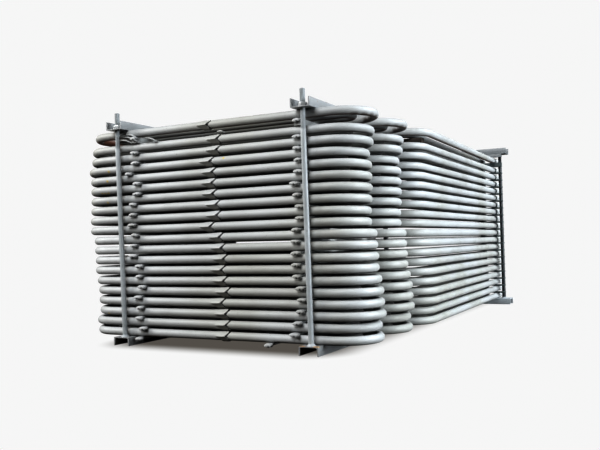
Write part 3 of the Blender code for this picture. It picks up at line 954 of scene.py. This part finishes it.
# %% Bars under every panel
BLOCK, BLOCK_ENDS = (0.060, 0.039), (0.765, 0.985)
block = straight(BAR_SECTION * BLOCK, BLOCK_ENDS, BACK + 0.060, gap_middle(1), along=0)
piece("corner_timber", [shell(block)], TIMBER, crease=50)
for panel in range(1, PANELS + 1):
    places = bar_places(panel)
    bars = [shell(flat_bar(panel, x)) for x in places]
    bars += [shell(lug(panel, x, panel + 7 * side)) for side, x in enumerate(places)]
    if panel == 1:
        bars += bent
    piece(f"spacer_bars_{panel:02d}", bars, OUTER_PAINT, crease=50)
    if panel < PANELS:
        rear = shell(rear_bar(panel))
        piece(f"rear_bar_{panel:02d}", [rear], REAR_BAR_PAINT, crease=50)
print("bars:", 2 * PANELS, "flat ones with lugs and", PANELS - 1, "at the rear")

# %% [markdown]
# ## Clamp channels
#
# The clamps are lengths of rolled channel. Rolling leaves soft corners, a fillet inside and a rounded toe on
# each flange, and the saw leaves square ends. A box with a slot cut out of it would miss all of these, so the
# section is drawn once as a closed line of points, with arcs where the rolls leave them, and carried from one
# end to the other. The rear clamp's two channels have coats of their own: a dark one above, and a pale one
# below, which is painted light, since little lamp light reaches it behind the stack.

# %% Channel paint
middle_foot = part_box("middle_bottom_channel")
ORANGE_MARKS = [
    (centre_of("middle_bottom_channel")[0] + side, middle_foot[0].y + 0.012, middle_foot[1].z + 0.0005)
    for side in (-0.050, -0.036, 0.034, 0.050)
]


def channel_paint(name, base, shade):
    """Thin blue-grey primer that has rubbed through to rust along edges and where rods were dropped in."""
    coat = Recipe(name)
    clouds = coat.noise(5.0, 4.0)
    scratches = coat.noise(26.0, 5.0, 0.7, (1, 0.25, 2)).step(0.56, 0.64)
    rust = coat.noise(16.0, 5.0, 0.65).step(0.66, 0.74)
    colour = coat.mix(clouds.step(0.3, 0.7), base, shade)
    colour = coat.mix(scratches * 0.35, colour, (0.24, 0.225, 0.205))
    colour = coat.mix(spots(coat, ORANGE_MARKS, 0.022, 0.012) * 0.8, colour, (0.55, 0.27, 0.04))
    colour = coat.mix(rust * 0.8, colour, coat.mix(coat.noise(60.0), (0.16, 0.06, 0.02), (0.36, 0.16, 0.05)))
    relief = coat.bump(coat.noise(300.0, 3.0) * 0.4 + rust * 0.6 + scratches * 0.3, 0.0012, 0.5)
    return coat.finish(Base_Color=colour, Roughness=rust * 0.35 + scratches * 0.12 + 0.40, Normal=relief)


CHANNEL = channel_paint("channel_primer", (0.285, 0.292, 0.298), (0.24, 0.247, 0.252))
# A pale copy of the primer for the rear foot: painted light, since little lamp light reaches it behind the
# stack.
LIT_REAR_FOOT_PAINT = channel_paint("rear_foot_primer_painted_light", (0.58, 0.62, 0.65), (0.48, 0.515, 0.54))
REAR_HEAD = channel_paint("rear_head_primer", (0.19, 0.203, 0.214), (0.155, 0.166, 0.175))

# %% Rolled section
CHANNEL_TALL = 0.053


def channel_section():
    """The outline of a channel as (across, up): web below, flanges up, from -60 to 60 mm across.

    The left half has four round corners, each with its place, radius, angles in degrees and number of points.
    The right half is its mirror image.
    """
    half, web, root, toe = 0.060, 0.0055, 0.0085, 0.0070
    edge, tip, fillet = 0.0012, 0.0035, 0.007
    corners = (
        (-half + edge, edge, edge, 270, 180, 3),
        (-half + edge, CHANNEL_TALL - edge, edge, 180, 90, 3),
        (-half + toe - tip, CHANNEL_TALL - tip, tip, 90, 0, 5),
        (-half + root + fillet, web + fillet, fillet, 180, 270, 6),
    )
    left = np.concatenate([
        ellipse((across, up), radius, np.radians(np.linspace(*angles)))
        for across, up, radius, *angles in corners
    ])
    return np.concatenate([left, left[::-1] * (-1, 1)])


SECTION = channel_section()
print("channel section:", len(SECTION), "points,", round(np.ptp(SECTION[:, 0]), 3), "m across")

# %% Six channels
PACKING = (0.039, 0.0275)
for clamp in ("left", "middle"):
    for place, up in (("bottom", -1), ("top", 1)):
        node = f"{clamp}_{place}_channel"
        low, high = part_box(node)
        web_z = high.z if up < 0 else low.z
        grid = straight(SECTION * (1, up), (low.y, high.y), centre_of(node)[0], web_z, along=1)
        piece(f"{node}_rolled", [shell(grid)], CHANNEL, [node], crease=35)
for place, up, paint in (("bottom", -1, LIT_REAR_FOOT_PAINT), ("top", 1, REAR_HEAD)):
    node = f"rear_{place}_channel"
    low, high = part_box(node)
    web_z = high.z if up < 0 else high.z - CHANNEL_TALL
    shells = [shell(straight(SECTION * (1, up), (low.x, high.x), REAR_CLAMP, web_z, along=0))]
    if place == "top":
        packing = straight(BAR_SECTION * PACKING, REAR_ENDS, REAR_BAR + 0.005, web_z - 0.0138, along=0)
        shells.append(shell(packing))
    piece(f"{node}_rolled", shells, paint, [node], crease=35)
print("channels: 6, the last one's web at z =", round(web_z, 3))

# %% [markdown]
# ## Tie rods, nuts, washers and welds
#
# The rods are plain bar, threaded at the top for the nut and welded to the bottom channel. A thread could be
# mere relief in the paint, but its outline against the light would be straight. It is a surface here: the
# radius rises and falls with the height, and the pattern is shifted once round per pitch, which makes the
# ridge climb. The nut is a hexagon whose corners are cut by a cone, and the weld is a fillet with the small
# ripples that a welder's hand leaves.


# %% Rod and nut finishes
def rod_paint(name, base, shade):
    """Paint on bar, with scuffs and thin runs of dirt."""
    coat = Recipe(name)
    clouds = coat.noise(9.0, 4.0, 0.6, (1, 1, 0.4))
    scuffs = coat.noise(70.0, 4.0, 0.65, (1, 1, 0.3)).step(0.58, 0.68)
    colour = coat.mix(clouds.step(0.35, 0.65), base, shade)
    colour = coat.mix(scuffs * 0.45, colour, (0.26, 0.25, 0.23))
    relief = coat.bump(coat.noise(350.0, 2.0) * 0.5 + scuffs * 0.5, 0.0008, 0.5)
    return coat.finish(Base_Color=colour, Roughness=scuffs * 0.2 + 0.36, Normal=relief)


def nut_zinc():
    """Dull zinc with a cloudy bloom and rust in the flats."""
    coat = Recipe("nut_zinc")
    bloom = coat.noise(45.0, 5.0, 0.6)
    rust = coat.noise(28.0, 5.0, 0.7).step(0.6, 0.7)
    colour = coat.mix(bloom, (0.42, 0.43, 0.44), (0.60, 0.61, 0.61))
    colour = coat.mix(rust * 0.6, colour, (0.20, 0.12, 0.07))
    relief = coat.bump(bloom * 0.6 + rust * 0.4, 0.0007, 0.5)
    metal = 0.75 - rust * 0.7
    return coat.finish(Base_Color=colour, Roughness=bloom * 0.2 + 0.36, Metallic=metal, Normal=relief)


ROD = rod_paint("rod_primer", (0.39, 0.41, 0.425), (0.33, 0.35, 0.36))
# The rear rods are much darker than the front ones.
DARK_ROD = rod_paint("rear_rod_dark", (0.035, 0.042, 0.047), (0.022, 0.026, 0.03))
ZINC = nut_zinc()


# %% Rods and welds
THREAD_PITCH, THREAD_DEPTH, THREAD_CUT = 0.0035, 0.0019, 0.0006
TIP = 0.002
WELD_LEG = 0.011
WELD_OUTLINE = np.array([
    (-0.002, 0.0), (1.0, 0.0), (1.0, 0.10), (0.72, 0.36), (0.42, 0.62), (0.12, 0.95), (-0.002, 1.0),
])


def upright(x, y, radius, angle, z):
    """Points round an upright line: x plus the radius times the cosine, y plus it times the sine, and z."""
    rings = np.broadcast_arrays(x + radius * np.cos(angle), y + radius * np.sin(angle), z)
    return np.stack(rings, axis=-1)


def rod(low_x, high_x, y, foot, thread_start, top):
    """A bar with its thread. It leans from the foot's weld to the thread, and its tip is chamfered.

    Below the thread the radius is plain. Above it a ridge climbs one pitch a turn: the depth goes with how
    far the height in pitches, less the share of a turn, is from the middle of a whole pitch.
    """
    angle = round_angles(28)
    plain = np.concatenate([[foot], np.linspace(LEAN_LOW, thread_start, 20)])
    thread = np.arange(thread_start, top - TIP, THREAD_PITCH / 6)[1:]
    z = np.concatenate([plain, thread, [top - 0.0012, top]])[:, None]
    ridge = np.abs((z / THREAD_PITCH - angle / (2 * math.pi)) % 1 - 0.5) * 2
    radius = ROD_RADIUS - (THREAD_CUT + THREAD_DEPTH * ridge) * smooth(z, thread_start, thread_start + 0.004)
    for below, cut in ((TIP, 0.0026), (0.0006, 0.0036)):
        radius = np.where(z > top - below, ROD_RADIUS - cut, radius)
    x = low_x + (high_x - low_x) * np.clip((z - LEAN_LOW) / (thread_start - LEAN_LOW), 0, 1)
    return upright(x, y, radius, angle, z)


def weld(x, y, z):
    """A fillet round a rod: a ring whose section is a rounded triangle, rippled as it goes round.

    The ripple is one plus two small sines of the angle, and stretches all but the edges that touch the steel.
    """
    angle = round_angles(72)[:, None]
    ripple = 1 + 0.05 * np.sin(26 * angle) + 0.06 * np.sin(3 * angle + x)
    out, up = (WELD_LEG * side * np.where(side > 0.05, ripple, 1) for side in WELD_OUTLINE.T)
    return upright(x, y, ROD_RADIUS + out, angle, z + up)


# %% Nuts and washers
NUT_ACROSS, NUT_BORE = 0.046, 0.0150
WASHER_RADIUS, WASHER_BORE, WASHER_THICK, WASHER_EDGE = 0.029, 0.0172, 0.004, 0.0006


def hexagon_nut(x, y, z, tall):
    """A nut with chamfered corners: six flats, cut back by a cone at both ends, round an open bore.

    The radius of a flat is half the width across flats over the cosine of the angle to the flat's middle.
    """
    angle = round_angles(72)
    flat = NUT_ACROSS / 2 / np.cos((angle + math.pi / 6) % (math.pi / 3) - math.pi / 6)
    share = np.array([0.0, 0.0, 0.10, 0.20, 0.5, 0.80, 0.90, 1.0, 1.0])
    cone = NUT_ACROSS / 2 * np.array([0.0, 0.965, 1.08, 1.30, 1.30, 1.30, 1.08, 0.965, 0.0])
    radius = np.minimum(flat, np.maximum(cone, NUT_BORE)[:, None])
    return upright(x, y, radius, angle, (z + tall * share)[:, None])


def washer(x, y, z):
    """A flat ring with chamfered outer edges."""
    rim = WASHER_RADIUS - WASHER_EDGE
    profile = np.array([
        (WASHER_BORE, 0), (rim, 0), (WASHER_RADIUS, WASHER_EDGE),
        (WASHER_RADIUS, WASHER_THICK - WASHER_EDGE), (rim, WASHER_THICK), (WASHER_BORE, WASHER_THICK),
    ])
    return upright(x, y, profile[:, 0], round_angles(48)[:, None], z + profile[:, 1])


# %% Six rods with their welds, nuts and washers
WELD_RISE = 0.0055
for name in ("left_front", "left_back", "middle_front", "middle_back", "rear_left", "rear_right"):
    low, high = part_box(f"{name}_rod")
    nut_low, nut_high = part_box(f"{name}_nut")
    x, y = centre_of(f"{name}_nut")
    rear = "rear" in name
    foot_x = x if rear else clamp_x(name.split("_")[0], low.z)
    bar = shell(rod(foot_x, x, y, low.z, nut_high.z - THREAD_LENGTH, high.z))
    piece(f"{name}_tie_rod", [bar], DARK_ROD if rear else ROD, [f"{name}_rod"], crease=60)
    fillet = shell(weld(foot_x, y, low.z + WELD_RISE), closed=False)
    piece(f"{name}_foot_weld", [fillet], ROD, crease=50)
    ring = shell(washer(x, y, nut_low.z), closed=False)
    nut = shell(hexagon_nut(x, y, nut_low.z + WASHER_THICK, nut_high.z - nut_low.z - WASHER_THICK))
    piece(f"{name}_hexagon_nut", [nut, ring], ZINC, [f"{name}_nut"], crease=35)
print("rods, nuts and welds: 6 each, and the last rod is", round(high.z - low.z, 3), "m long")

# %% [markdown]
# ## Finishing
#
# The view layer is brought up to date, so that every piece stands in its place.

# %% Finish
bpy.context.view_layer.update()
